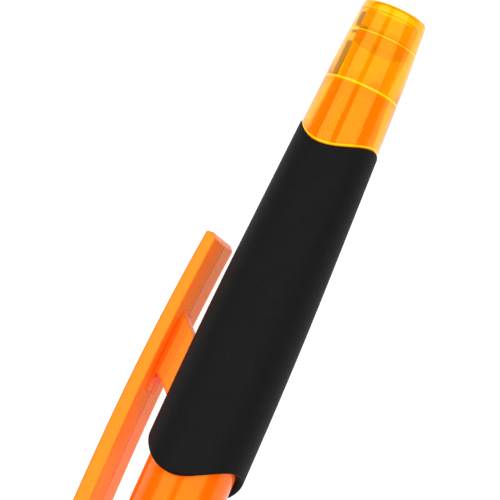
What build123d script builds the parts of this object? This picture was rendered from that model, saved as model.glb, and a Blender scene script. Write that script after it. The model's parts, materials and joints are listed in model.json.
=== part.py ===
"""Retractable highlighter, lying on its grip and the edge of its clip.

Every piece is drawn on the pen's own planes. A station is a distance from the nose rim
towards the button, and a radius is measured from the pen's axis. All sizes are in mm.
"""

from build123d import *
from math import acos, atan2, degrees, hypot, sqrt
import os

os.makedirs("parts", exist_ok=True)

# Overall sizes
LENGTH = 130.0  # nose rim to the end of the button, nib drawn in
GRIP_RADIUS = 7.25
CLIP_WIDTH = 6.2
CLIP_THICKNESS = 2.5  # at the root, thinner towards the free end
CLIP_REACH = 13.35  # highest outer radius of the clip

# Outer skin of the nose and of the grip: (radius, station)
RIM_ROUND = 0.55
LIP_ROUND = 0.5
NOSE_SKIN = [(4.67, RIM_ROUND), (5.24, 8.5), (5.86, 22.6)]
GRIP_SKIN = [(5.82, 18.0), (6.44, 33.0), (6.88, 44.5), (7.15, 56.0), (GRIP_RADIUS, 66.0)]
SLEEVE_FRONT = GRIP_SKIN[0][1]

# Wavy edges of the grip: middle station, half height of the wave, how much further
# forward it lies at the clip than at the middle, radius it is drawn on
FRONT_WAVE = (20.3, 1.4, 0.6, 6.0)
REAR_WAVE = (68.85, 2.4, 0.75, GRIP_RADIUS)
WAVE_REACH = 7.6
EDGE_GROOVE = 0.08  # gap between the nose's edge and the rubber

# Nose
LIP_RADIUS = 3.5
LIP_DEPTH = 1.3
CHAMBER_RADIUS = 3.95
SPIGOT_START = 12.0  # station of the shoulder that the barrel butts against
SKIRT_END = 25.0
SKIRT_OUTER = 5.35
SKIRT_INNER = 4.97

# Barrel
SPIGOT_RADIUS = 4.3
FRONT_BORE = 3.45
SPRING_BORE = 4.2
REAR_BORE = 4.75
SPRING_SEAT = 31.0
REAR_BORE_START = 80.0
BARREL_END = 113.0
BARREL_CONE_START = (4.85, 21.0)
BARREL_CONE_END = (6.0, 66.0)
BARREL_RADIUS = 6.05
GAP = 0.02  # between pieces that are pushed together

# Seal ring between the nose's skirt and the barrel
SEAL_STATION = 23.4
SEAL_WIRE = 0.4

# Shutter
HINGE_STATION = 4.2
HINGE_HEIGHT = 2.4
LEAF_HALF_WIDTH = 2.3
LEAF_THICKNESS = 0.35
LEAF_SPACE = 0.06  # between the closed leaves and their seal
LEAF_GAP = 0.05  # from a leaf's free edge to the pen's axis
KNUCKLE_RADIUS = 0.5
PIN_RADIUS = 0.25
PIN_CLEARANCE = 0.04
PIN_HALF_LENGTH = 2.85
SPRING_POCKET = 1.4  # where the knuckle ends and the closing spring begins
FRAME_FRONT = 4.75
FRAME_BACK = 6.0
LUG_INNER = 2.45  # from the middle to the inner face of a lug
LUG_HEIGHT = 0.9
OPENING_WIDTH_ROOM = 0.3  # how much wider than the nib the frame's opening is
OPENING_HEIGHT_ROOM = 0.4
SEAL_LIP = 0.25
CLOSING_COIL = (0.42, 0.55, 2.5, 0.08)  # radius, length, turns, wire radius

# Nib and refill
NIB_START = 10.0
NIB_WIDTH = 4.0
NIB_THICKNESS = 2.6
NIB_END = 32.0
NIB_SLANT = 2.4  # how much further back the clip's side of the nib begins
NIB_EDGE = 0.6  # half thickness of the nib's edge
NIB_TAPER = 2.8
HOLDER_FRONT = 20.5
HOLDER_SHOULDER = 24.5
HOLDER_MOUTH = 2.55
HOLDER_END = 31.0
REFILL_RADIUS = 3.1
TUBE_BORE = 2.7
TUBE_START = 27.0
TUBE_END = 84.0
PLUG_DEPTH = 3.5
PLUG_END = 87.5
PLUG_BORE = 1.3
PLUG_BORE_DEPTH = 2.6

# Return spring
SPRING_WIRE = 0.25
SPRING_RADIUS = 3.55
SPRING_TURNS = 11
COLLAR_START = 60.2
COLLAR_LENGTH = 2.8
COLLAR_RADIUS = 3.9

# Click mechanism
SLEEVE_START = 82.0
SLEEVE_END = 107.5
SLEEVE_BORE = 4.0
RIB_COUNT = 4
RIB_WIDTH = 0.4
RIB_INNER = 3.45
RIB_START = 83.8
SLIDER_RIB_RADIUS = 3.75
ROTOR_START = 87.7
ROTOR_END = 95.5
ROTOR_RADIUS = 3.0
ROTOR_PIN = 1.25
ROTOR_SHAFT = 1.8
SHAFT_END = 98.5
CROWN_BORE = 1.9
TOOTH_COUNT = 8
TOOTH_INNER = 2.1
TOOTH_WIDTH = 0.9
TOOTH_HEIGHT = 0.5
TOOTH_GAP = 0.2
BUTTON_RADIUS = 3.2
BUTTON_START = 107.6
BUTTON_BORE = 2.5
BUSH_CLEARANCE = 0.07
BUSH_END = 114.5
BUSH_FLANGE = 5.5

# Clip
CLIP_START = 37.9
CLIP_DIP = 1.76  # how far the free end bows towards the pen
CLIP_TOP = 72.0  # station where the clip stands highest
CLIP_THINNING = 0.5  # how much thinner the free end is
CLIP_CROWN = 0.15
CLIP_RIDGE = 0.25
CLIP_ROUND = 0.3
ROOT_STATION = 103.5
ROOT_RADIUS = 2.6
ROOT_HEIGHT = CLIP_REACH - CLIP_CROWN - ROOT_RADIUS
ROOT_CLEARANCE = 0.06
KEEL_WIDTH = 1.4
KEEL_REACH = 7.6
KEEL_FLARE = 1.1  # fillets between the keel and the clip's bar
KEEL_FRONT = (49.7, 52.2)  # stations of its slanted ends: at the bar and at its edge
KEEL_REAR = (58.5, 61.1)
LEAD_IN = (10.3, 9.3)  # radii of the free end's slanted face: where it begins and ends
LEAD_IN_LENGTH = 1.1
END_ROUND = 0.3

# The pen rolls until the clip's rounded outer corner meets the floor
CORNER_LIFT = 0.12  # the crown carries the rounded corner a little further out
CORNER_HEIGHT = CLIP_REACH - CLIP_CROWN - CLIP_ROUND + CORNER_LIFT
CORNER_SIDE = CLIP_WIDTH / 2 - CLIP_ROUND
CORNER_REACH = hypot(CORNER_HEIGHT, CORNER_SIDE)
ROLL = degrees(atan2(CORNER_SIDE, CORNER_HEIGHT) + acos((GRIP_RADIUS - CLIP_ROUND) / CORNER_REACH))
CLIP_DIRECTION = Vector(0, 0, -1).rotate(Axis.X, ROLL)
WIDTH_DIRECTION = Vector(0, 1, 0).rotate(Axis.X, ROLL)
CLIP_SIDE = CLIP_DIRECTION.Y * CORNER_HEIGHT + WIDTH_DIRECTION.Y * CORNER_SIDE + CLIP_ROUND
AXIS_SIDE = (GRIP_RADIUS - CLIP_SIDE) / 2

# PEN looks along the axis from the nose; SIDE holds (radius towards the clip, station)
PEN = Plane(origin=(LENGTH / 2, AXIS_SIDE, GRIP_RADIUS), x_dir=CLIP_DIRECTION, z_dir=(-1, 0, 0))
SIDE = Plane(origin=PEN.origin, x_dir=PEN.x_dir, z_dir=PEN.x_dir.cross(PEN.z_dir))
# ACROSS holds (distance sideways from the clip, station)
ACROSS = Plane(origin=PEN.origin, x_dir=PEN.y_dir, z_dir=PEN.y_dir.cross(PEN.z_dir))
PEN_AXIS = Axis(PEN.origin, PEN.z_dir)
ROOT_AXIS = Axis(SIDE.from_local_coords((ROOT_HEIGHT, ROOT_STATION, 0)), PEN.y_dir)


def turned(points, mode=Mode.ADD):
    """Turn a closed outline of (radius, station) points about the pen's axis."""
    with BuildSketch(SIDE) as outline:
        with BuildLine():
            Polyline(*points, close=True)
        make_face()
    revolve(outline.sketch, axis=PEN_AXIS, mode=mode)


def ring(inner, outer, start, end, mode=Mode.ADD):
    """Turn a plain ring."""
    turned([(inner, start), (outer, start), (outer, end), (inner, end)], mode)


def block(plane, width, height, start, end, mode=Mode.ADD, center=(0, 0)):
    """Extrude a rectangle of the pen's section from one station to another."""
    with BuildSketch(plane.offset(start)) as section:
        with Locations(center):
            Rectangle(width, height)
    extrude(section.sketch, amount=end - start, mode=mode)


def behind_wave(wave, shift=0.0, mode=Mode.SUBTRACT):
    """Cut away, or keep, what lies behind a saddle-shaped edge."""
    middle, half_height, lean, radius = wave
    drop = 2 * half_height * (WAVE_REACH / radius) ** 2
    crest = middle + half_height + shift
    skew = lean * WAVE_REACH / radius
    far_end = (-WAVE_REACH, crest - drop + skew)
    clip_end = (WAVE_REACH, crest - drop - skew)
    with BuildSketch(SIDE) as region:
        with BuildLine():
            Bezier(far_end, (0, crest + drop), clip_end)
            Polyline(clip_end, (WAVE_REACH, LENGTH), (-WAVE_REACH, LENGTH), far_end)
        make_face()
    extrude(region.sketch, amount=2 * WAVE_REACH, both=True, mode=mode)


def ribs(inner, outer, start, end, turn=0.0):
    """Add the straight ribs of the click mechanism, evenly spaced round the axis."""
    with BuildSketch(PEN.offset(start)) as section:
        with PolarLocations((inner + outer) / 2, RIB_COUNT, start_angle=turn):
            Rectangle(outer - inner, RIB_WIDTH)
    extrude(section.sketch, amount=end - start)


def teeth(inner, outer, start, end):
    """Add a ring of ratchet teeth that stand up from one station to another."""
    with BuildSketch(PEN.offset(start)) as section:
        with PolarLocations((inner + outer) / 2, TOOTH_COUNT):
            Trapezoid(outer - inner, TOOTH_WIDTH, 90 - 90 / TOOTH_COUNT)
    extrude(section.sketch, amount=end - start)


def coiled_wire(center, direction, radius, length, turns, wire_radius):
    """Add a coil of round wire that starts at a point and winds along a direction."""
    with BuildLine() as coil:
        Helix(pitch=length / turns, height=length, radius=radius, center=center, direction=direction)
    with BuildSketch(Plane(origin=coil.line @ 0, z_dir=coil.line % 0)) as wire:
        Circle(wire_radius)
    sweep(wire.sketch, path=coil.line)


def cone_radius(station):
    """Outer radius of the barrel under the grip."""
    slope = (BARREL_CONE_END[0] - BARREL_CONE_START[0]) / (BARREL_CONE_END[1] - BARREL_CONE_START[1])
    return BARREL_CONE_START[0] + slope * (station - BARREL_CONE_START[1])


def clip_span(station):
    """0 where the clip stands highest and behind it, 1 at its free end."""
    return (CLIP_TOP - min(station, CLIP_TOP)) / (CLIP_TOP - CLIP_START)


def clip_outer(station):
    """Outer radius of the clip, bowed towards the pen at its free end."""
    return CLIP_REACH - CLIP_DIP * clip_span(station) ** 2


def clip_inner(station):
    """Inner radius of the clip's side walls."""
    return clip_outer(station) - CLIP_THICKNESS + CLIP_THINNING * clip_span(station)


# Nose cone: a tapered clear shell with an open rounded rim and a skirt under the grip
with BuildPart() as nose_cone:
    lip_edge = (LIP_RADIUS, LIP_ROUND)
    lip_top = (LIP_RADIUS + LIP_ROUND, 0.0)
    rim_top = (NOSE_SKIN[0][0] - RIM_ROUND, 0.0)
    skin_end = NOSE_SKIN[-1]
    shell_radius = SKIRT_OUTER - 0.15
    body_front = SPIGOT_START - 2.0
    with BuildSketch(SIDE):
        with BuildLine():
            RadiusArc(lip_edge, lip_top, LIP_ROUND)
            Line(lip_top, rim_top)
            RadiusArc(rim_top, NOSE_SKIN[0], RIM_ROUND)
            ThreePointArc(*NOSE_SKIN)
            Polyline(
                skin_end,
                (shell_radius, skin_end[1]),
                (shell_radius, body_front + 0.8),
                (CHAMBER_RADIUS, body_front + 0.8),
                (CHAMBER_RADIUS, LIP_DEPTH),
                (LIP_RADIUS, LIP_DEPTH),
                lip_edge,
            )
        make_face()
    revolve(axis=PEN_AXIS)
    behind_wave(FRONT_WAVE)
    turned(
        [
            (CHAMBER_RADIUS, body_front),
            (shell_radius + 0.05, body_front),
            (SKIRT_OUTER, SPIGOT_START + 2.5),
            (SKIRT_OUTER, SKIRT_END),
            (SKIRT_INNER, SKIRT_END),
            (SKIRT_INNER, 21.0),
            (SPIGOT_RADIUS + 0.08, SPIGOT_START),
            (CHAMBER_RADIUS, SPIGOT_START),
        ]
    )
nose_cone.part.label = "nose_cone"

# Grip sleeve: soft rubber, level with the nose, standing proud of the barrel behind
with BuildPart() as grip_sleeve:
    sleeve_end = REAR_WAVE[0] + REAR_WAVE[1] + 1.0
    rubber_front = (GRIP_SKIN[0][0], SLEEVE_FRONT)
    with BuildSketch(SIDE):
        with BuildLine():
            Spline(*GRIP_SKIN)
            Polyline(
                GRIP_SKIN[-1],
                (GRIP_RADIUS, sleeve_end),
                (BARREL_RADIUS + GAP, sleeve_end),
                (BARREL_RADIUS + GAP, BARREL_CONE_END[1]),
                (cone_radius(SKIRT_END) + GAP, SKIRT_END + 0.1),
                (SKIRT_OUTER + GAP, SKIRT_END + 0.1),
                (SKIRT_OUTER + GAP, SLEEVE_FRONT),
                rubber_front,
            )
        make_face()
    revolve(axis=PEN_AXIS)
    behind_wave(FRONT_WAVE, EDGE_GROOVE, Mode.INTERSECT)
    behind_wave(REAR_WAVE)
grip_sleeve.part.label = "grip_sleeve"

# Barrel: one tube from the spigot in the nose to the rear, with the seat of the clip
with BuildPart() as barrel:
    with BuildSketch(SIDE):
        with BuildLine():
            shoulder = 0.45
            spigot_front = SPIGOT_START + 0.1
            Line((FRONT_BORE, spigot_front), (SPIGOT_RADIUS - shoulder, spigot_front))
            RadiusArc(
                (SPIGOT_RADIUS - shoulder, spigot_front), (SPIGOT_RADIUS, spigot_front + shoulder), -shoulder
            )
            Polyline(
                (SPIGOT_RADIUS, spigot_front + shoulder),
                BARREL_CONE_START,
                BARREL_CONE_END,
                (BARREL_RADIUS, BARREL_CONE_END[1]),
                (BARREL_RADIUS, 78.0),
            )
            ThreePointArc((BARREL_RADIUS, 78.0), (5.96, 98.0), (5.6, BARREL_END))
            Polyline(
                (5.6, BARREL_END),
                (REAR_BORE, BARREL_END),
                (REAR_BORE, REAR_BORE_START),
                (SPRING_BORE, REAR_BORE_START),
                (SPRING_BORE, SPRING_SEAT),
                (FRONT_BORE, SPRING_SEAT),
                (FRONT_BORE, spigot_front),
            )
        make_face()
    revolve(axis=PEN_AXIS)
    ring(SEAL_WIRE * -2 + SKIRT_INNER, 5.2, SEAL_STATION - 0.5, SEAL_STATION + 0.5, Mode.SUBTRACT)
    with BuildSketch(SIDE) as clip_seat:
        with BuildLine():
            Polyline(
                (5.3, 98.6),
                (ROOT_HEIGHT - 0.6, 100.2),
                (ROOT_HEIGHT, ROOT_STATION),
                (ROOT_HEIGHT + 2.1, ROOT_STATION + 1.8),
                (ROOT_HEIGHT + 1.3, ROOT_STATION + 3.4),
                (6.2, 111.6),
                (5.3, 111.6),
                close=True,
            )
        make_face()
        with Locations((ROOT_HEIGHT, ROOT_STATION)):
            Circle(ROOT_RADIUS + ROOT_CLEARANCE, mode=Mode.SUBTRACT)
    extrude(clip_seat.sketch, amount=CLIP_WIDTH / 2, both=True)
barrel.part.label = "barrel"

# Clip: bowed bar with a creased underside, a keel that presses on the grip, and a round root
with BuildPart() as clip:
    stations = [CLIP_START, 46.0, 54.0, 64.0, CLIP_TOP, 90.0, ROOT_STATION]
    half = CLIP_WIDTH / 2
    for station in stations:
        edge = clip_outer(station) - CLIP_CROWN
        outer = edge + (CLIP_CROWN if station < ROOT_STATION else 0.02)
        inner = clip_inner(station)
        with BuildSketch(PEN.offset(station)) as section:
            with BuildLine():
                ThreePointArc((edge, half), (outer, 0), (edge, -half))
                Polyline(
                    (edge, -half),
                    (inner, -half),
                    (inner - CLIP_RIDGE, 0),
                    (inner, half),
                    (edge, half),
                )
            make_face()
            fillet(section.vertices().filter_by(lambda corner: corner.X > inner + 0.5), CLIP_ROUND)
    loft()
    foot = KEEL_WIDTH / 2
    toe = foot + KEEL_FLARE
    for station in (KEEL_FRONT[0] - 0.5, KEEL_REAR[1] + 0.2):
        under = clip_inner(station) - CLIP_RIDGE / 2
        neck = under - KEEL_FLARE
        bend = under - KEEL_FLARE * (1 - sqrt(0.5))
        bend_side = foot + KEEL_FLARE * (1 - sqrt(0.5))
        with BuildSketch(PEN.offset(station)):
            with BuildLine():
                ThreePointArc((neck, foot), (bend, bend_side), (under, toe))
                Polyline((under, toe), (under + 0.3, toe), (under + 0.3, -toe), (under, -toe))
                ThreePointArc((under, -toe), (bend, -bend_side), (neck, -foot))
                Polyline((neck, -foot), (KEEL_REACH, -foot), (KEEL_REACH, foot), (neck, foot))
            make_face()
    loft()
    with BuildSketch(SIDE) as lead_in:
        with BuildLine():
            Polyline(
                (KEEL_REACH, CLIP_START - LEAD_IN_LENGTH),
                (LEAD_IN[0] + 1, CLIP_START - LEAD_IN_LENGTH),
                (LEAD_IN[0], CLIP_START),
                (LEAD_IN[1], CLIP_START + LEAD_IN_LENGTH),
                (KEEL_REACH, CLIP_START + LEAD_IN_LENGTH),
                close=True,
            )
        make_face()
    extrude(lead_in.sketch, amount=CLIP_WIDTH, both=True, mode=Mode.SUBTRACT)
    fillet(clip.faces().sort_by(PEN_AXIS)[0].edges(), END_ROUND)
    for (root_station, edge_station), beyond in ((KEEL_FRONT, -2.0), (KEEL_REAR, 3.0)):
        far_station = root_station + beyond
        with BuildSketch(SIDE) as keel_end:
            with BuildLine():
                Polyline(
                    (clip_inner(root_station) - CLIP_RIDGE, root_station),
                    (KEEL_REACH, edge_station),
                    (KEEL_REACH - 0.1, edge_station),
                    (KEEL_REACH - 0.1, far_station),
                    (clip_inner(far_station) - CLIP_RIDGE, far_station),
                    close=True,
                )
            make_face()
        extrude(keel_end.sketch, amount=toe + 0.2, both=True, mode=Mode.SUBTRACT)
    with BuildSketch(ACROSS.offset(ROOT_HEIGHT)) as root:
        with Locations((0, ROOT_STATION)):
            Rectangle(CLIP_WIDTH, 2 * ROOT_RADIUS)
        fillet(root.vertices(), CLIP_ROUND)
        with Locations((0, ROOT_STATION + ROOT_RADIUS)):
            Rectangle(CLIP_WIDTH, 2 * ROOT_RADIUS, mode=Mode.SUBTRACT)
    revolve(root.sketch, axis=ROOT_AXIS)
clip.part.label = "clip"

# Seal ring: an O-ring in the barrel's groove, squeezed by the nose's skirt
with BuildPart() as nose_seal_ring:
    with BuildSketch(SIDE):
        with Locations((SKIRT_INNER - SEAL_WIRE, SEAL_STATION)):
            Circle(SEAL_WIRE)
    revolve(axis=PEN_AXIS)
nose_seal_ring.part.label = "nose_seal_ring"

opening_width = NIB_WIDTH + OPENING_WIDTH_ROOM
opening_height = NIB_THICKNESS + OPENING_HEIGHT_ROOM

# Shutter frame: a plate pressed into the nose, with four lugs that hold the hinge pins
with BuildPart() as shutter_frame:
    ring(0.0, CHAMBER_RADIUS - GAP, FRAME_FRONT, FRAME_BACK)
    for side in (1, -1):
        for end in (1, -1):
            lug_width = PIN_HALF_LENGTH - LUG_INNER
            lug_center = (end * (LUG_INNER + lug_width / 2), side * (HINGE_HEIGHT - 0.1))
            lug_front = HINGE_STATION - LUG_HEIGHT / 2
            block(PEN, lug_width, LUG_HEIGHT, lug_front, FRAME_FRONT, center=lug_center)
    ring(0.0, CHAMBER_RADIUS - GAP, 0.0, FRAME_BACK, Mode.INTERSECT)
    block(PEN, opening_width, opening_height, FRAME_FRONT, FRAME_BACK, Mode.SUBTRACT)
    for side in (1, -1):
        with BuildSketch(ACROSS) as pin_hole:
            with Locations((side * HINGE_HEIGHT, HINGE_STATION)):
                Circle(PIN_RADIUS)
        extrude(pin_hole.sketch, amount=PIN_HALF_LENGTH, both=True, mode=Mode.SUBTRACT)
shutter_frame.part.label = "shutter_frame"

# Shutter seal: a soft rectangular lip behind the closed leaves
with BuildPart() as shutter_seal:
    seal_front = HINGE_STATION + LEAF_SPACE
    seal_width = opening_width + 2 * SEAL_LIP
    seal_height = opening_height + 2 * SEAL_LIP
    block(PEN, seal_width, seal_height, seal_front, FRAME_FRONT)
    block(PEN, opening_width, opening_height, seal_front, FRAME_FRONT, Mode.SUBTRACT)
shutter_seal.part.label = "shutter_seal"

# Hinge pins of the two leaves
with BuildPart() as shutter_pins:
    with BuildSketch(ACROSS) as pin_ends:
        with Locations((HINGE_HEIGHT, HINGE_STATION), (-HINGE_HEIGHT, HINGE_STATION)):
            Circle(PIN_RADIUS)
    extrude(pin_ends.sketch, amount=PIN_HALF_LENGTH, both=True)
shutter_pins.part.label = "shutter_pins"


def shutter_leaf(side):
    """A door hinged beside the nib, closed, with its knuckle on the pin."""
    knuckle = (side * HINGE_HEIGHT, HINGE_STATION)
    plate_center = (0, side * (HINGE_HEIGHT + LEAF_GAP) / 2)
    with BuildPart() as leaf:
        plate_front = HINGE_STATION - LEAF_THICKNESS
        plate_height = HINGE_HEIGHT - LEAF_GAP
        block(PEN, 2 * LEAF_HALF_WIDTH, plate_height, plate_front, HINGE_STATION, center=plate_center)
        with BuildSketch(ACROSS) as knuckle_end:
            with Locations(knuckle):
                Circle(KNUCKLE_RADIUS)
        extrude(knuckle_end.sketch, amount=LEAF_HALF_WIDTH, both=True)
        pocket_width = LEAF_HALF_WIDTH - SPRING_POCKET + 0.5
        pocket_center = (SPRING_POCKET + pocket_width / 2, side * HINGE_HEIGHT)
        block(PEN, pocket_width, 1.5, 3.0, 5.0, Mode.SUBTRACT, center=pocket_center)
        with BuildSketch(ACROSS) as bore:
            with Locations(knuckle):
                Circle(PIN_RADIUS + PIN_CLEARANCE)
        extrude(bore.sketch, amount=LEAF_HALF_WIDTH + 1, both=True, mode=Mode.SUBTRACT)
    return leaf.part


def shutter_spring(side):
    """A small closing spring wound round the end of a hinge pin."""
    pin_center = ACROSS.from_local_coords((side * HINGE_HEIGHT, HINGE_STATION, 0))
    start = pin_center + PEN.x_dir * (SPRING_POCKET + 0.2)
    with BuildPart() as spring:
        coiled_wire(start, PEN.x_dir, *CLOSING_COIL)
    return spring.part


shutter_leaf_left = shutter_leaf(1)
shutter_leaf_left.label = "shutter_leaf_left"
shutter_leaf_right = shutter_leaf(-1)
shutter_leaf_right.label = "shutter_leaf_right"
shutter_spring_left = shutter_spring(1)
shutter_spring_left.label = "shutter_spring_left"
shutter_spring_right = shutter_spring(-1)
shutter_spring_right.label = "shutter_spring_right"

# Nib: a felt bar with a slanted edge, thinned towards its tip
with BuildPart() as nib:
    block(PEN, NIB_WIDTH, NIB_THICKNESS, NIB_START, NIB_END)
    half_width = NIB_WIDTH / 2
    with BuildSketch(SIDE) as slant:
        with BuildLine():
            Polyline(
                (-half_width, NIB_START - 1),
                (half_width, NIB_START - 1),
                (half_width, NIB_START + NIB_SLANT),
                (-half_width, NIB_START),
                close=True,
            )
        make_face()
    extrude(slant.sketch, amount=NIB_THICKNESS, both=True, mode=Mode.SUBTRACT)
    for side in (1, -1):
        with BuildSketch(ACROSS) as thinning:
            with BuildLine():
                Polyline(
                    (side * NIB_EDGE, NIB_START - 1),
                    (side * NIB_EDGE, NIB_START),
                    (side * NIB_THICKNESS / 2, NIB_START + NIB_TAPER),
                    (side * NIB_THICKNESS, NIB_START + NIB_TAPER),
                    (side * NIB_THICKNESS, NIB_START - 1),
                    close=True,
                )
            make_face()
        extrude(thinning.sketch, amount=NIB_WIDTH, both=True, mode=Mode.SUBTRACT)
nib.part.label = "nib"

# Nib holder: a nozzle plugged into the front of the refill tube
with BuildPart() as nib_holder:
    turned(
        [
            (0.0, HOLDER_FRONT),
            (HOLDER_MOUTH, HOLDER_FRONT),
            (REFILL_RADIUS, HOLDER_SHOULDER),
            (REFILL_RADIUS, TUBE_START),
            (TUBE_BORE - GAP, TUBE_START),
            (TUBE_BORE - GAP, HOLDER_END),
            (0.0, HOLDER_END),
        ]
    )
    block(PEN, NIB_WIDTH, NIB_THICKNESS, HOLDER_FRONT, HOLDER_END, Mode.SUBTRACT)
nib_holder.part.label = "nib_holder"

# Refill tube, its fibre core, its rear plug and the ring that the spring pushes on
with BuildPart() as refill_tube:
    ring(TUBE_BORE, REFILL_RADIUS, TUBE_START, TUBE_END)
refill_tube.part.label = "refill_tube"

with BuildPart() as ink_reservoir:
    ring(0.0, TUBE_BORE - GAP, NIB_END, TUBE_END - PLUG_DEPTH - 0.1)
ink_reservoir.part.label = "ink_reservoir"

with BuildPart() as refill_end_plug:
    turned(
        [
            (0.0, TUBE_END - PLUG_DEPTH),
            (TUBE_BORE - GAP, TUBE_END - PLUG_DEPTH),
            (TUBE_BORE - GAP, TUBE_END),
            (REFILL_RADIUS, TUBE_END),
            (REFILL_RADIUS, PLUG_END),
            (0.0, PLUG_END),
        ]
    )
    ring(0.0, PLUG_BORE, PLUG_END - PLUG_BORE_DEPTH, PLUG_END, Mode.SUBTRACT)
refill_end_plug.part.label = "refill_end_plug"

with BuildPart() as spring_collar:
    ring(REFILL_RADIUS, COLLAR_RADIUS, COLLAR_START, COLLAR_START + COLLAR_LENGTH)
spring_collar.part.label = "spring_collar"

# Return spring: from the seat in the barrel to the collar on the refill
with BuildPart() as return_spring:
    coil_start = SPRING_SEAT + SPRING_WIRE + GAP
    coil_length = COLLAR_START - SPRING_WIRE - GAP - coil_start
    coil_center = PEN.offset(coil_start).origin
    coiled_wire(coil_center, PEN.z_dir, SPRING_RADIUS, coil_length, SPRING_TURNS, SPRING_WIRE)
return_spring.part.label = "return_spring"

# Cam sleeve: the ribbed guide of the click mechanism, pressed into the barrel
with BuildPart() as cam_sleeve:
    ring(SLEEVE_BORE, REAR_BORE - GAP, SLEEVE_START, SLEEVE_END)
    ribs(RIB_INNER, SLEEVE_BORE + 0.1, RIB_START, SLEEVE_END)
cam_sleeve.part.label = "cam_sleeve"

# Cam rotor: turns half a slot on every click, carried in the refill's plug
with BuildPart() as cam_rotor:
    ring(0.0, ROTOR_RADIUS, ROTOR_START, ROTOR_END)
    ring(0.0, ROTOR_PIN, PLUG_END - PLUG_BORE_DEPTH + 0.2, ROTOR_START)
    ring(0.0, ROTOR_SHAFT, ROTOR_END, SHAFT_END)
    ribs(ROTOR_RADIUS - 0.2, SLIDER_RIB_RADIUS, 89.5, 94.5, turn=180 / RIB_COUNT)
    teeth(TOOTH_INNER, ROTOR_RADIUS - 0.05, ROTOR_END, ROTOR_END + TOOTH_HEIGHT)
cam_rotor.part.label = "cam_rotor"

# Cam plunger: the toothed crown behind the rotor, plugged into the button
crown_start = ROTOR_END + 2 * TOOTH_HEIGHT + TOOTH_GAP
with BuildPart() as cam_plunger:
    ring(CROWN_BORE, ROTOR_RADIUS, crown_start, BUTTON_START)
    ring(CROWN_BORE, BUTTON_BORE, BUTTON_START, BUTTON_START + 3.0)
    ribs(ROTOR_RADIUS - 0.2, SLIDER_RIB_RADIUS, 102.5, 107.2, turn=180 / RIB_COUNT)
    teeth(TOOTH_INNER, ROTOR_RADIUS - 0.05, crown_start - TOOTH_HEIGHT, crown_start)
cam_plunger.part.label = "cam_plunger"

# Push button: a hollow cap with a domed end
with BuildPart() as push_button:
    ring(0.0, BUTTON_RADIUS, BUTTON_START, LENGTH)
    ring(0.0, BUTTON_BORE, BUTTON_START, LENGTH - 6, Mode.SUBTRACT)
    fillet(push_button.edges().sort_by(PEN_AXIS)[-1], 1.2)
push_button.part.label = "push_button"

# Rear bush: closes the barrel and guides the button
with BuildPart() as rear_bush:
    bush_bore = BUTTON_RADIUS + BUSH_CLEARANCE
    ring(bush_bore, REAR_BORE - GAP, SLEEVE_END, BARREL_END)
    ring(bush_bore, BUSH_FLANGE, BARREL_END, BUSH_END)
    rims = rear_bush.edges().filter_by(GeomType.CIRCLE).sort_by(PEN_AXIS)[-2:]
    fillet(rims, 0.5)
rear_bush.part.label = "rear_bush"

pieces = [
    nose_cone.part,
    grip_sleeve.part,
    barrel.part,
    clip.part,
    nose_seal_ring.part,
    shutter_frame.part,
    shutter_seal.part,
    shutter_pins.part,
    shutter_leaf_left,
    shutter_leaf_right,
    shutter_spring_left,
    shutter_spring_right,
    nib.part,
    nib_holder.part,
    refill_tube.part,
    ink_reservoir.part,
    refill_end_plug.part,
    spring_collar.part,
    return_spring.part,
    cam_sleeve.part,
    cam_rotor.part,
    cam_plunger.part,
    push_button.part,
    rear_bush.part,
]
for piece in pieces:
    export_step(piece, f"parts/{piece.label}.step")
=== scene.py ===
"""Looks of the retractable highlighter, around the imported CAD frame.

Units are metres. The stations along the pen and the sizes of the replacing shapes are in mm.
"""

import json
import math

import bpy
import bmesh
from mathutils import Matrix, Vector


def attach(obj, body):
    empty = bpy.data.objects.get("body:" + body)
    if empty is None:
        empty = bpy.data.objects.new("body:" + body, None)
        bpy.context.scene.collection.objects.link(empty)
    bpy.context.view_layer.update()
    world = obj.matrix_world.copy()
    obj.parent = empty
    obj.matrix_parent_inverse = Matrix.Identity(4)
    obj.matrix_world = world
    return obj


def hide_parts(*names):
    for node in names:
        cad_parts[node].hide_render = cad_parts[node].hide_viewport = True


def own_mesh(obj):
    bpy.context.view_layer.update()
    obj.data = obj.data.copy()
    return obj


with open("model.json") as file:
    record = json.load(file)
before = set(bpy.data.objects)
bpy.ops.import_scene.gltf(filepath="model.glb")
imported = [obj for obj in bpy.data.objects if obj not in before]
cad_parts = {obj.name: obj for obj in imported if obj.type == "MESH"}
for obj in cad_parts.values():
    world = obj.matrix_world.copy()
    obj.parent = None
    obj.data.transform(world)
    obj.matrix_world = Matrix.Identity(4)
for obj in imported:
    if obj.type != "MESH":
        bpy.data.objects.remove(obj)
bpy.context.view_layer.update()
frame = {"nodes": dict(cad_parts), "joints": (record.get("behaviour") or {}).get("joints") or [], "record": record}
nodes = frame["nodes"]

MM = 0.001


# ---------------------------------------------------------------- the pen's own frame
def joint(name):
    """The frame's joint with this name."""
    return next(j for j in frame["joints"] if j["name"] == name)


TIP = Vector(joint("rotor_turn")["pos_m"])  # the middle of the nose's rim, on the rotor's axis
TO_NOSE = Vector((1, 0, 0))
TO_CLIP = Vector(joint("shutter_left_open")["axis"]).normalized()
ACROSS = TO_NOSE.cross(TO_CLIP)  # completes the section: sideways from the clip
UPWARD = ACROSS if ACROSS.z > 0 else -ACROSS  # sideways too, to the side that is up


def at(station, along_clip=0.0, across=0.0):
    """A point given by its station behind the rim and its place in the pen's section, in mm."""
    return TIP - TO_NOSE * station * MM + TO_CLIP * along_clip * MM + ACROSS * across * MM


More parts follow.
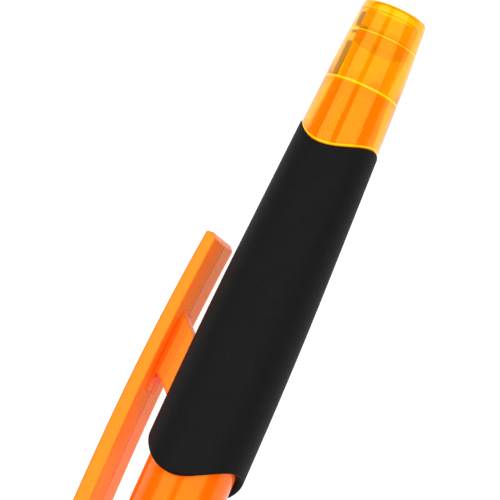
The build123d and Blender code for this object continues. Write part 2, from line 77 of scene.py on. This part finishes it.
# ---------------------------------------------------------------- materials
class Shader:
    """A small helper that builds a Principled material node by node."""

    def __init__(self, name):
        self.material = bpy.data.materials.new(name)
        self.material.use_nodes = True
        self.tree = self.material.node_tree
        self.bsdf = self.tree.nodes["Principled BSDF"]
        self.output = self.tree.nodes["Material Output"]
        self.coords = self.tree.nodes.new("ShaderNodeTexCoord")

    def set(self, **values):
        """Set inputs of the Principled node by their names."""
        for key, value in values.items():
            self.bsdf.inputs[key.replace("_", " ")].default_value = value
        return self

    def noise(self, scale, detail=3.0, stretch=(1, 1, 1)):
        """A noise fixed to the piece, drawn out along the axes whose stretch is below 1."""
        mapping = self.tree.nodes.new("ShaderNodeMapping")
        mapping.inputs["Scale"].default_value = stretch
        self.tree.links.new(self.coords.outputs["Object"], mapping.inputs["Vector"])
        noise = self.tree.nodes.new("ShaderNodeTexNoise")
        noise.inputs["Scale"].default_value = scale
        noise.inputs["Detail"].default_value = detail
        self.tree.links.new(mapping.outputs["Vector"], noise.inputs["Vector"])
        return noise.outputs["Fac"]

    def remap(self, value, low, high, start=0.3, end=0.7):
        """Spread the range from start to end over low to high."""
        ramp = self.tree.nodes.new("ShaderNodeMapRange")
        ramp.inputs["From Min"].default_value = start
        ramp.inputs["From Max"].default_value = end
        ramp.inputs["To Min"].default_value = low
        ramp.inputs["To Max"].default_value = high
        self.tree.links.new(value, ramp.inputs["Value"])
        return ramp.outputs["Result"]

    def roughness(self, value, low, high):
        self.tree.links.new(self.remap(value, low, high), self.bsdf.inputs["Roughness"])
        return self

    def color(self, value, first, second):
        """Vary the base colour between two colours."""
        mix = self.tree.nodes.new("ShaderNodeMix")
        mix.data_type = "RGBA"
        mix.inputs["A"].default_value = (*first, 1)
        mix.inputs["B"].default_value = (*second, 1)
        self.tree.links.new(self.remap(value, 0.0, 1.0), mix.inputs["Factor"])
        self.tree.links.new(mix.outputs["Result"], self.bsdf.inputs["Base Color"])
        return self

    def bump(self, value, distance, strength=1.0):
        bump = self.tree.nodes.new("ShaderNodeBump")
        bump.inputs["Distance"].default_value = distance
        bump.inputs["Strength"].default_value = strength
        self.tree.links.new(value, bump.inputs["Height"])
        self.tree.links.new(bump.outputs["Normal"], self.bsdf.inputs["Normal"])
        return self

    def round_edges(self, radius):
        """Shade the sharp edges as if they were rounded."""
        bevel = self.tree.nodes.new("ShaderNodeBevel")
        bevel.samples = 6
        bevel.inputs["Radius"].default_value = radius
        bump = self.bsdf.inputs["Normal"].links[0].from_node
        self.tree.links.new(bevel.outputs["Normal"], bump.inputs["Normal"])
        return self

    def paint_hollow_shade(self, reach, color):
        """Paint shade into the hollows: near other surfaces the colour turns dark red, a painted shade for light
        that bounces inside a narrow hollow of the plastic and comes out redder.
        """
        hollow = self.tree.nodes.new("ShaderNodeAmbientOcclusion")
        hollow.samples = 16
        hollow.only_local = True
        hollow.inputs["Distance"].default_value = reach
        open_share = self.remap(hollow.outputs["AO"], 0.0, 1.0, 0.55, 0.95)
        mix = self.tree.nodes.new("ShaderNodeMix")
        mix.data_type = "RGBA"
        self.tree.links.new(open_share, mix.inputs["Factor"])
        mix.inputs["A"].default_value = (*color, 1)
        self.tree.links.new(self.bsdf.inputs["Base Color"].links[0].from_socket, mix.inputs["B"])
        self.tree.links.new(mix.outputs["Result"], self.bsdf.inputs["Base Color"])
        return self


WARM_SHINE = (1.0, 0.9, 0.14, 1)  # tint of the highlights on the orange and amber plastics
EDGE_SOFTNESS = 0.45 * MM
# how far the painted hollow shade looks for nearby surfaces
HOLLOW_SHADE_REACH = 3.0 * MM


def amber(name, tint, painted_glow=0.0, clarity=0.8):
    """Clear plastic with a fluorescent pigment. Its painted glow is painted light: an even emission that stands
    for the fluorescence and lightens the plastic.
    """
    s = Shader(name)
    s.set(Transmission_Weight=clarity, IOR=1.5, Specular_Tint=WARM_SHINE)
    s.color(s.noise(160, 2.0), tint, (tint[0], tint[1] * 0.93, tint[2]))
    s.roughness(s.noise(900), 0.05, 0.08)
    s.bump(s.noise(120, 1.0), 0.00001, 0.25)
    # painted glow: an even emission standing for the fluorescence
    s.set(Emission_Color=(1.0, 0.40, 0.0, 1), Emission_Strength=painted_glow)
    return s.material


def orange_plastic(name, color, deeper, rough, painted_glow=0.12):
    """Opaque fluorescent plastic with soft edges. Its painted glow is painted light: an even emission that stands
    for the fluorescence and lightens the sides in shade.
    """
    s = Shader(name)
    # painted glow: an even emission standing for the fluorescence, which lightens the sides in shade
    s.set(IOR=1.5, Specular_Tint=WARM_SHINE, Emission_Color=(1.0, 0.10, 0.0, 1), Emission_Strength=painted_glow)
    s.color(s.noise(700, 3.0), color, deeper)
    s.roughness(s.noise(1400), rough, rough + 0.04)
    s.bump(s.noise(160, 2.0, (0.3, 1, 1)), 0.00001, 0.3)
    s.round_edges(EDGE_SOFTNESS)
    # painted shade: dark red in the hollows of the plastic
    s.paint_hollow_shade(HOLLOW_SHADE_REACH, (color[0] * 0.9, 0.01, 0.0))
    return s.material


def paint_crease_shade(material, half_width, color):
    """Paint a fine dark line along the middle of the clip's underside, a painted shade for the fold there."""
    tree = material.node_tree
    base_color = tree.nodes["Principled BSDF"].inputs["Base Color"]

    def math_node(operation, value, second):
        node = tree.nodes.new("ShaderNodeMath")
        node.operation = operation
        tree.links.new(value, node.inputs[0])
        if isinstance(second, float):
            node.inputs[1].default_value = second
        else:
            tree.links.new(second, node.inputs[1])
        return node.outputs["Value"]

    def along(vector, direction):
        node = tree.nodes.new("ShaderNodeVectorMath")
        node.operation = "DOT_PRODUCT"
        tree.links.new(vector, node.inputs[0])
        node.inputs[1].default_value = direction
        return node.outputs["Value"]

    coords = tree.nodes.new("ShaderNodeTexCoord")
    offset = math_node("SUBTRACT", along(coords.outputs["Object"], ACROSS), TIP.dot(ACROSS))
    near = math_node("COMPARE", offset, 0.0)
    near.node.inputs[2].default_value = half_width
    under = math_node("LESS_THAN", along(coords.outputs["Normal"], TO_CLIP), -0.5)
    mix = tree.nodes.new("ShaderNodeMix")
    mix.data_type = "RGBA"
    tree.links.new(math_node("MULTIPLY", near, under), mix.inputs["Factor"])
    tree.links.new(base_color.links[0].from_socket, mix.inputs["A"])
    mix.inputs["B"].default_value = (*color, 1)
    tree.links.new(mix.outputs["Result"], base_color)
    return material


def soft_rubber():
    """Black rubber with a fine matte grain."""
    s = Shader("soft_rubber")
    s.set(IOR=1.45, Specular_IOR_Level=0.12)
    s.color(s.noise(400, 5.0), (0.0025, 0.0025, 0.0026), (0.0035, 0.0035, 0.0037))
    s.roughness(s.noise(2500, 3.0), 0.6, 0.7)
    s.bump(s.noise(9000, 2.0), 0.000015, 0.35)
    return s.material


def moulded(name, color, deeper, rough):
    """Plain moulded plastic or rubber."""
    s = Shader(name)
    s.set(IOR=1.48)
    s.color(s.noise(350, 4.0), color, deeper)
    s.roughness(s.noise(1500), rough, rough + 0.12)
    s.bump(s.noise(6000, 3.0), 0.00001, 0.3)
    return s.material


def steel():
    """Drawn wire, streaked along the pen."""
    s = Shader("steel")
    s.set(Metallic=1.0)
    s.color(s.noise(900, 3.0), (0.62, 0.62, 0.64), (0.42, 0.42, 0.44))
    s.roughness(s.noise(3000, 3.0, (0.1, 1, 1)), 0.22, 0.38)
    s.bump(s.noise(5000, 2.0, (0.1, 1, 1)), 0.000004, 0.3)
    return s.material


def fibrous(name, color, deeper):
    """Felt or fibre whose strands run along the pen."""
    s = Shader(name)
    s.set(IOR=1.35, Sheen_Weight=0.3, Sheen_Roughness=0.6)
    s.color(s.noise(2200, 5.0, (0.15, 1, 1)), color, deeper)
    s.roughness(s.noise(3000), 0.75, 0.95)
    s.bump(s.noise(5200, 5.0, (0.12, 1, 1)), 0.00006, 0.6)
    return s.material


MATERIALS = {
    "amber_clear": amber("amber_clear", (1.0, 0.50, 0.0), 0.05),
    "orange_gloss": orange_plastic("orange_gloss", (0.9, 0.11, 0.0), (0.86, 0.10, 0.0), 0.16),
    # The clip's base colours are a lighter, yellower copy of the barrel's orange, painted light for the stronger
    # light on its side wall, and its higher painted glow lightens its underside in shade.
    "orange_clip": paint_crease_shade(
        orange_plastic("orange_clip", (0.95, 0.18, 0.010), (0.94, 0.172, 0.009), 0.24, painted_glow=0.22),
        half_width=0.09 * MM,
        # colour of the painted shade line
        color=(0.45, 0.012, 0.0),
    ),
    "orange_inner": moulded("orange_inner", (1.0, 0.36, 0.02), (0.95, 0.32, 0.015), 0.4),
    "orange_button": orange_plastic("orange_button", (0.9, 0.11, 0.0), (0.86, 0.10, 0.0), 0.18),
    "soft_rubber": soft_rubber(),
    "seal_rubber": moulded("seal_rubber", (0.02, 0.02, 0.02), (0.03, 0.03, 0.03), 0.45),
    "white_plastic": moulded("white_plastic", (0.80, 0.78, 0.72), (0.72, 0.70, 0.64), 0.35),
    "grey_plastic": moulded("grey_plastic", (0.35, 0.35, 0.36), (0.28, 0.28, 0.29), 0.38),
    "steel": steel(),
    "felt": fibrous("felt", (1.0, 0.30, 0.01), (0.85, 0.2, 0.005)),
    "ink_fibre": fibrous("ink_fibre", (1.0, 0.35, 0.02), (0.9, 0.26, 0.01)),
}


def dress(obj, material):
    obj.data.materials.clear()
    obj.data.materials.append(material)


for entry in frame["record"]["subparts"]:
    dress(nodes[entry["node"]], MATERIALS[entry["material_slot"]])


# ---------------------------------------------------------------- shapes that replace CAD nodes
# Sizes in mm. A station is a distance behind the nose's rim.
FRONT_WAVE = (20.28, 1.34, 0.46)  # middle station, half height, lean towards the clip
REAR_WAVE = (69.0, 2.2, 0.85)
NOSE_SKIN = [(0.55, 4.67), (8.5, 5.24), (22.6, 5.86)]  # (station, radius)
GRIP_SKIN = [(18.0, 5.82), (33.0, 6.44), (44.5, 6.88), (56.0, 7.15), (66.0, 7.25), (73.0, 7.25)]
EDGE_GROOVE = 0.08  # between the nose's edge and the rubber
SEGMENTS = 256

# Nose
RIM_ROUND = 0.55
MOUTH_ROUND = 0.5
MOUTH_RADIUS = 3.5
MOUTH_DEPTH = 1.3
CHAMBER_RADIUS = 3.95
SHOULDER_STATION = 12.0  # between the chamber and the wider bore round the barrel's spigot
NOSE_RINGS = (4.7, 12.05)  # stations of the two bright yellow ring lines, painted highlights that stand for light refracted at steps inside the nose
NOSE_STATIONS = (1.0, 2.0, 3.4, 4.62, 4.7, 4.78, 6.0, 8.0, 10.0, 11.9, 12.05, 12.2, 13.0)
NOSE_STEPS = 12
EDGE_ROUND = 0.32
EDGE_STEPS = 7
SKIRT_RADIUS = 5.35
SKIRT_BORE = 4.97
SKIRT_END = 25.0
LIP_SWELL = 0.05
LIP_FALL = 0.3
SHOULDER_BORE = 4.36
DARK_REFLECTION_STRIPS = ((11.9, 6.5), (5.3, 4.9), (4.2, 2.0))  # stations of the strips of painted dark reflection in the bore
DARK_REFLECTION_TURNS = (42.0, 58.0)  # degrees round from the clip

# Grip
GRIP_FRONT_ROUND = 0.12
GRIP_REAR_ROUND = 0.3
GRIP_STEPS = 48
GRIP_REAR_BORE = 6.08
GRIP_BORE = [(66.1, 6.07), (66.0, 6.02), (25.1, 4.99), (25.1, SKIRT_RADIUS + 0.02)]  # (station, radius)
GRIP_FRONT_BORE = SKIRT_RADIUS + 0.03
FRONT_ROUND_STEPS = 4
REAR_ROUND_STEPS = 6

# Return spring
SPRING_FRONT = 31.27
SPRING_BACK = 59.93
SPRING_RADIUS = 3.55
SPRING_WIRE = 0.25
SPRING_TURNS = 11
WIRE_SIDES = 12
WIRE_STEPS = 360


def wave_station(wave, angle):
    """Where a wavy edge lies at an angle from the clip round the axis."""
    middle, half_height, lean = wave
    return middle - half_height * math.cos(2 * angle) - lean * math.cos(angle)


def interpolate(points, x):
    """Value of the smooth curve through the points, by local cubics."""
    last = len(points) - 1
    i = max(0, min(last - 1, sum(1 for p in points[1:] if p[0] < x)))
    slopes = []
    for j in (i, i + 1):
        low, high = points[max(0, j - 1)], points[min(last, j + 1)]
        slopes.append((high[1] - low[1]) / (high[0] - low[0]))
    (x0, y0), (x1, y1) = points[i], points[i + 1]
    t = (x - x0) / (x1 - x0)
    h = x1 - x0
    return (
        y0 * (1 + 2 * t) * (1 - t) ** 2
        + slopes[0] * h * t * (1 - t) ** 2
        + y1 * t * t * (3 - 2 * t)
        + slopes[1] * h * t * t * (t - 1)
    )


def add_object(name, mesh, materials):
    """Turn a finished bmesh into an object of the scene."""
    bmesh.ops.recalc_face_normals(mesh, faces=mesh.faces)
    data = bpy.data.meshes.new(name)
    mesh.to_mesh(data)
    mesh.free()
    for material in materials:
        data.materials.append(material)
    piece = bpy.data.objects.new(name, data)
    bpy.context.scene.collection.objects.link(piece)
    return piece


def turned_piece(name, rows, materials, marked=(), patches=(), patch_turns=(0.0, 0.0)):
    """A closed ring whose rows give (station, radius) at each angle round the pen's axis.

    Marked rows take the second material, and the patches the third one between two angles.
    """
    mesh = bmesh.new()
    rings = []
    for row in rows:
        ring = []
        for k in range(SEGMENTS):
            angle = 2 * math.pi * k / SEGMENTS
            station, radius = row(angle)
            ring.append(mesh.verts.new(at(station, radius * math.cos(angle), radius * math.sin(angle))))
        rings.append(ring)
    for i in range(len(rings)):
        first, second = rings[i], rings[(i + 1) % len(rings)]
        for k in range(SEGMENTS):
            n = (k + 1) % SEGMENTS
            face = mesh.faces.new((first[k], first[n], second[n], second[k]))
            face.smooth = True
            face.material_index = 1 if i in marked else 0
            if i in patches and patch_turns[0] < 360 * k / SEGMENTS < patch_turns[1]:
                face.material_index = 2
    return add_object(name, mesh, materials)


def fixed(station, radius):
    """A row with the same station and radius all round."""
    return lambda angle: (station, radius)


def round_corner(station, radius, size, start, end, steps=5):
    """Rows of a quarter round about a centre at (station, radius)."""
    rows = []
    for i in range(steps + 1):
        a = math.radians(start + (end - start) * i / steps)
        rows.append(fixed(station + size * math.cos(a), radius + size * math.sin(a)))
    return rows


def make_nose():
    """The clear nose: its rim, two ring lines and wavy lip take a brighter, glowing amber, painted highlights for
    light refracted in the clear wall, and its bore has strips of painted dark reflection.
    """
    rows = round_corner(MOUTH_ROUND, MOUTH_RADIUS + MOUTH_ROUND, MOUTH_ROUND, 270, 180)
    rim_first = len(rows)
    rows += round_corner(RIM_ROUND, NOSE_SKIN[0][1] - RIM_ROUND, RIM_ROUND, 180, 90, 8)
    # the rim's rows take the painted highlight
    marked = set(range(rim_first, rim_first + 5))
    for station in NOSE_STATIONS:
        if station in NOSE_RINGS:
            marked |= {len(rows) - 1, len(rows)}
        rows.append(fixed(station, interpolate(NOSE_SKIN, station)))
    last_ring = NOSE_STATIONS[-1]
    for i in range(1, NOSE_STEPS + 1):

        def row(angle, share=i / NOSE_STEPS):
            end = wave_station(FRONT_WAVE, angle) - EDGE_ROUND
            station = last_ring + (end - last_ring) * share
            return station, interpolate(NOSE_SKIN, station)

        rows.append(row)
    # the lip's rows take the painted highlight too
    marked |= set(range(len(rows) - 1, len(rows) + EDGE_STEPS))
    for i in range(1, EDGE_STEPS + 1):

        def lip(angle, a=math.radians(90 - 90 * i / EDGE_STEPS)):
            end = wave_station(FRONT_WAVE, angle) - EDGE_ROUND
            radius = interpolate(NOSE_SKIN, end) + LIP_SWELL * math.sin(2 * a)
            return end + EDGE_ROUND * math.cos(a), radius - LIP_FALL * (1 - math.sin(a))

        rows.append(lip)
    rows.append(lambda angle: (wave_station(FRONT_WAVE, angle), SKIRT_RADIUS + 0.01))
    inside = [
        (23.6, SKIRT_RADIUS),
        (SKIRT_END - 0.1, SKIRT_RADIUS),
        (SKIRT_END, SKIRT_RADIUS - 0.1),
        (SKIRT_END, SKIRT_BORE + 0.03),
        (SKIRT_END - 0.1, SKIRT_BORE),
        (21.05, SKIRT_BORE),
        (20.9, SKIRT_BORE - 0.01),
        (SHOULDER_STATION + 0.1, SHOULDER_BORE + 0.025),
        (SHOULDER_STATION, SHOULDER_BORE),
        (SHOULDER_STATION, CHAMBER_RADIUS + 0.05),
    ]
    rows += [fixed(*point) for point in inside]
    patches = []
    for start, end in DARK_REFLECTION_STRIPS:
        patches.append(len(rows))
        rows += [fixed(start, CHAMBER_RADIUS), fixed(end, CHAMBER_RADIUS)]
    mouth = [
        (MOUTH_DEPTH + 0.1, CHAMBER_RADIUS),
        (MOUTH_DEPTH, CHAMBER_RADIUS - 0.05),
        (MOUTH_DEPTH, MOUTH_RADIUS + 0.05),
        (MOUTH_DEPTH - 0.1, MOUTH_RADIUS),
        (MOUTH_ROUND + 0.2, MOUTH_RADIUS),
    ]
    rows += [fixed(*point) for point in mouth]
    # painted highlight: a yellower, brighter, glowing amber for the marked rows
    edge = amber("amber_painted_highlight", (1.0, 0.60, 0.0), 0.3, clarity=0.35)
    # painted dark reflection: an opaque dark red for the strips in the bore
    shade = amber("amber_shade", (0.22, 0.015, 0.0), clarity=0.0)
    turns = DARK_REFLECTION_TURNS if UPWARD == ACROSS else (360 - DARK_REFLECTION_TURNS[1], 360 - DARK_REFLECTION_TURNS[0])
    nose = turned_piece("nose_shell", rows, [MATERIALS["amber_clear"], edge, shade], marked, patches, turns)
    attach(nose, "pen")
    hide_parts("nose_cone")


def make_grip():
    """The rubber sleeve between its two wavy edges."""
    front, rear = GRIP_FRONT_ROUND, GRIP_REAR_ROUND

    def skin(station):
        return interpolate(GRIP_SKIN, station)

    rows = []
    for i in range(FRONT_ROUND_STEPS + 1):

        def front_row(angle, a=math.radians(180 - 90 * i / FRONT_ROUND_STEPS)):
            start = wave_station(FRONT_WAVE, angle) + EDGE_GROOVE + front
            return start + front * math.cos(a), skin(start) - front * (1 - math.sin(a))

        rows.append(front_row)
    for i in range(1, GRIP_STEPS):

        def row(angle, share=i / GRIP_STEPS):
            start = wave_station(FRONT_WAVE, angle) + EDGE_GROOVE + front
            end = wave_station(REAR_WAVE, angle) - rear
            station = start + (end - start) * share
            return station, skin(station)

        rows.append(row)
    for i in range(REAR_ROUND_STEPS + 1):

        def rear_row(angle, a=math.radians(90 - 90 * i / REAR_ROUND_STEPS)):
            end = wave_station(REAR_WAVE, angle) - rear
            return end + rear * math.cos(a), skin(end) - rear * (1 - math.sin(a))

        rows.append(rear_row)
    rows.append(lambda angle: (wave_station(REAR_WAVE, angle), GRIP_REAR_BORE))
    rows += [fixed(*point) for point in GRIP_BORE]
    rows.append(lambda angle: (wave_station(FRONT_WAVE, angle) + EDGE_GROOVE, GRIP_FRONT_BORE))
    grip = turned_piece("grip_rubber", rows, [MATERIALS["soft_rubber"]])
    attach(grip, "pen")
    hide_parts("grip_sleeve")


def make_return_spring():
    """A round wire coil that the button presses together."""
    mesh = bmesh.new()
    rings = []
    for i in range(WIRE_STEPS + 1):
        share = i / WIRE_STEPS
        angle = 2 * math.pi * SPRING_TURNS * share
        station = SPRING_FRONT + (SPRING_BACK - SPRING_FRONT) * share
        out = TO_CLIP * math.cos(angle) + ACROSS * math.sin(angle)
        center = at(station) + out * SPRING_RADIUS * MM
        ring = []
        for k in range(WIRE_SIDES):
            a = 2 * math.pi * k / WIRE_SIDES
            spoke = out * math.cos(a) + TO_NOSE * math.sin(a)
            ring.append(mesh.verts.new(center + spoke * SPRING_WIRE * MM))
        rings.append(ring)
    for first, second in zip(rings, rings[1:]):
        for k in range(WIRE_SIDES):
            n = (k + 1) % WIRE_SIDES
            mesh.faces.new((first[k], first[n], second[n], second[k])).smooth = True
    for ring in (rings[0], rings[-1]):
        mesh.faces.new(ring)
    coil = add_object("spring_coil", mesh, [MATERIALS["steel"]])
    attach(coil, "pen")
    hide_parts("return_spring")
    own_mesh(coil)


make_nose()
make_grip()
make_return_spring()


# ---------------------------------------------------------------- floor, light and camera
FLOOR_SIZE = 4.0
FLOOR_GAP = 0.2 * MM  # below the pen
FLOOR_GREY = 0.3
FLOOR_GLOW = 0.9
ROOM_LIGHT = 0.12
LIGHT_DISTANCE = 0.45
LIGHT_LENGTH = 0.7
LIGHT_RADIANCE = 3.0
LIGHT_STATION = 35
SOFTBOXES = {"softbox_left": (74.0, 0.33), "softbox_right": (137.5, 0.47)}  # (degrees from the clip, width)


def make_floor():
    """A white table that glows, so that it stays white all over."""
    material = bpy.data.materials.new("floor")
    material.use_nodes = True
    bsdf = material.node_tree.nodes["Principled BSDF"]
    bsdf.inputs["Base Color"].default_value = (FLOOR_GREY, FLOOR_GREY, FLOOR_GREY, 1)
    bsdf.inputs["Roughness"].default_value = 1.0
    bsdf.inputs["Specular IOR Level"].default_value = 0.0
    bsdf.inputs["Emission Color"].default_value = (1, 1, 1, 1)
    bsdf.inputs["Emission Strength"].default_value = FLOOR_GLOW
    bpy.ops.mesh.primitive_plane_add(size=FLOOR_SIZE, location=(0, 0, -FLOOR_GAP))
    floor = bpy.context.object
    floor.name = "floor"
    floor.data.materials.append(material)


def add_softbox(name, turn, width):
    """A long soft light above the pen, turned round its axis from the clip."""
    angle = math.radians(turn)
    direction = TO_CLIP * math.cos(angle) + UPWARD * math.sin(angle)
    light = bpy.data.lights.new(name, "AREA")
    light.shape = "RECTANGLE"
    light.size, light.size_y = LIGHT_LENGTH, width
    light.energy = LIGHT_RADIANCE * LIGHT_LENGTH * width * math.pi
    obj = bpy.data.objects.new(name, light)
    bpy.context.scene.collection.objects.link(obj)
    place = Matrix((TO_NOSE, direction.cross(TO_NOSE), direction)).transposed().to_4x4()
    place.translation = at(LIGHT_STATION) + direction * LIGHT_DISTANCE
    obj.matrix_world = place


def make_lights():
    """A dim white room and two softboxes above the pen, on either side."""
    world = bpy.data.worlds.new("studio")
    bpy.context.scene.world = world
    world.use_nodes = True
    world.node_tree.nodes["Background"].inputs["Color"].default_value = (1, 1, 1, 1)
    world.node_tree.nodes["Background"].inputs["Strength"].default_value = ROOM_LIGHT
    for name, (turn, width) in SOFTBOXES.items():
        add_softbox(name, turn, width)


CAMERA_DISTANCE = 0.6
SENSOR_WIDTH = 36.0
CAMERA_TURN = math.radians(118.0)  # round the axis from the clip
CAMERA_TILT = math.radians(8.0)  # towards the button
CAMERA_LEAN = math.radians(24.22)  # of the pen in the picture
VIEW_WIDTH = 68.33 * MM
VIEW_STATION = 38.4  # of the pen at the picture's middle
VIEW_SHIFT = 4.96 * MM  # from the axis to the picture's middle


def make_camera():
    """Look down on the pen's front part, with the clip at the lower left."""
    data = bpy.data.cameras.new("camera")
    data.sensor_width = SENSOR_WIDTH
    data.lens = SENSOR_WIDTH * CAMERA_DISTANCE / VIEW_WIDTH
    data.clip_end = 10.0
    camera = bpy.data.objects.new("camera", data)
    bpy.context.scene.collection.objects.link(camera)
    section = TO_CLIP * math.cos(CAMERA_TURN) + UPWARD * math.sin(CAMERA_TURN)
    back = section * math.cos(CAMERA_TILT) - TO_NOSE * math.sin(CAMERA_TILT)
    along = (TO_NOSE - back * TO_NOSE.dot(back)).normalized()
    left = back.cross(along)
    up = along * math.cos(CAMERA_LEAN) + left * math.sin(CAMERA_LEAN)
    right = up.cross(back)
    target = at(VIEW_STATION) + left * VIEW_SHIFT
    place = Matrix((right, up, back)).transposed().to_4x4()
    place.translation = target + back * CAMERA_DISTANCE
    camera.matrix_world = place
    bpy.context.scene.camera = camera


make_floor()
make_lights()
make_camera()
bpy.context.scene.view_settings.view_transform = "Standard"
